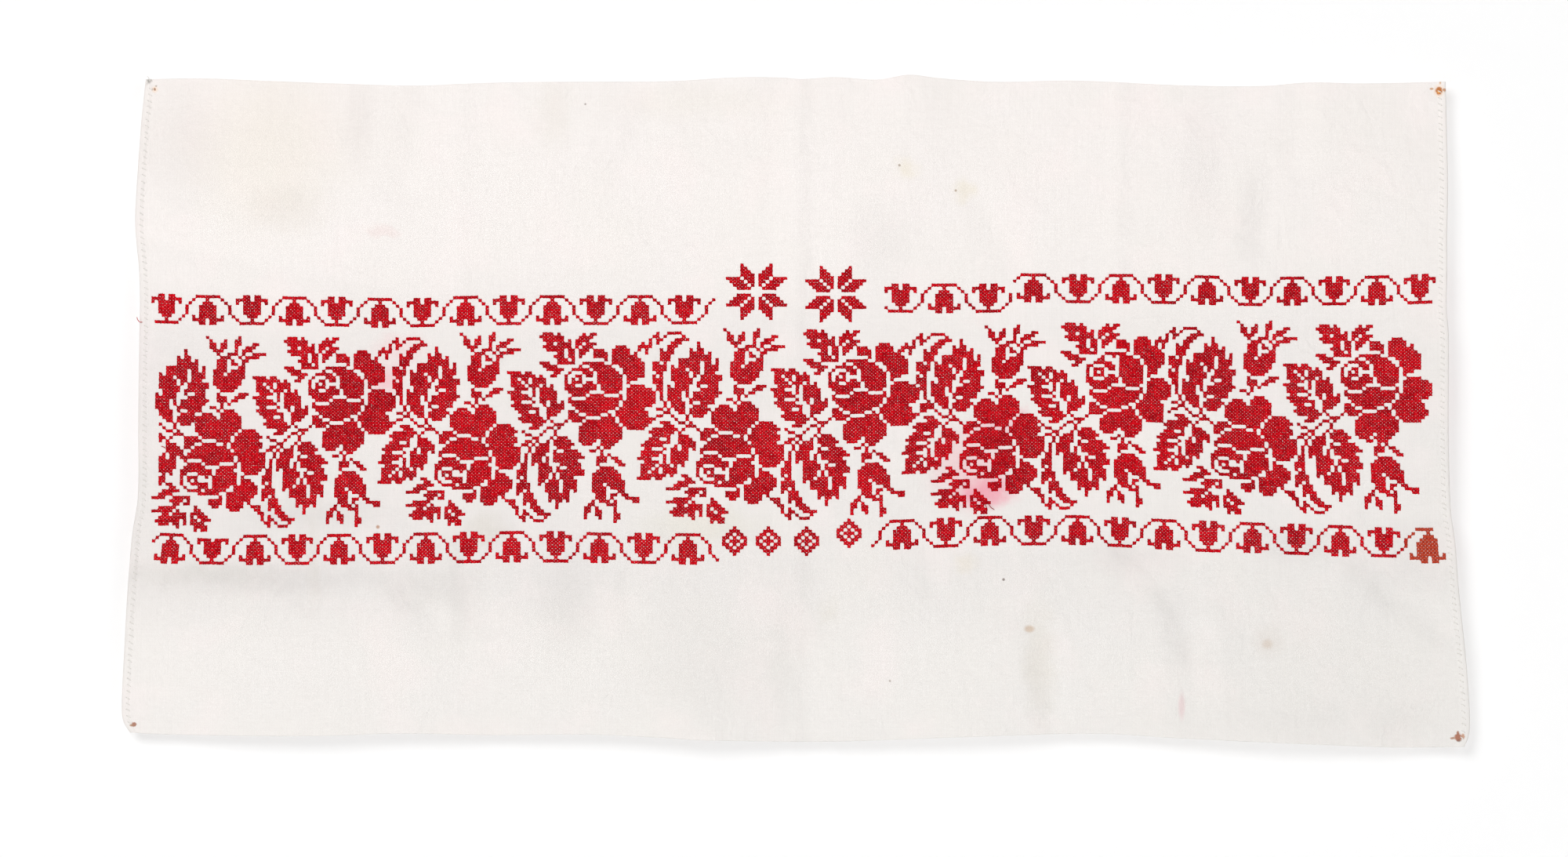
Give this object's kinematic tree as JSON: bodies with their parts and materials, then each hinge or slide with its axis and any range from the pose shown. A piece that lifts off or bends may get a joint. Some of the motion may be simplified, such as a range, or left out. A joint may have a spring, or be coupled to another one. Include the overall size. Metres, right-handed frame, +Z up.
{
  "type": "embroidered wall hanging",
  "caption": "Oblong off-white cloth with hemmed sides, worked in red cross-stitch with a wide band of roses between two scroll borders, pinned to a wall at its corners.",
  "frame": {"origin": "middle of the top edge, on the plane of the wall that the cloth hangs against", "axes": "+X along the width, to the viewer's right; +Z up; the worked side faces -Y and the wall is the plane Y = 0"},
  "size_m": [0.9294, 0.0115, 0.463],
  "materials": {
    "linen": "off-white plain weave, matt, lightly stained and creased",
    "red_thread": "crimson stranded cotton, matt with a faint sheen",
    "white_thread": "white sewing cotton, matt"
  },
  "bodies": {
    "root": {"cloth": "linen"}
  },
  "joints": []
}
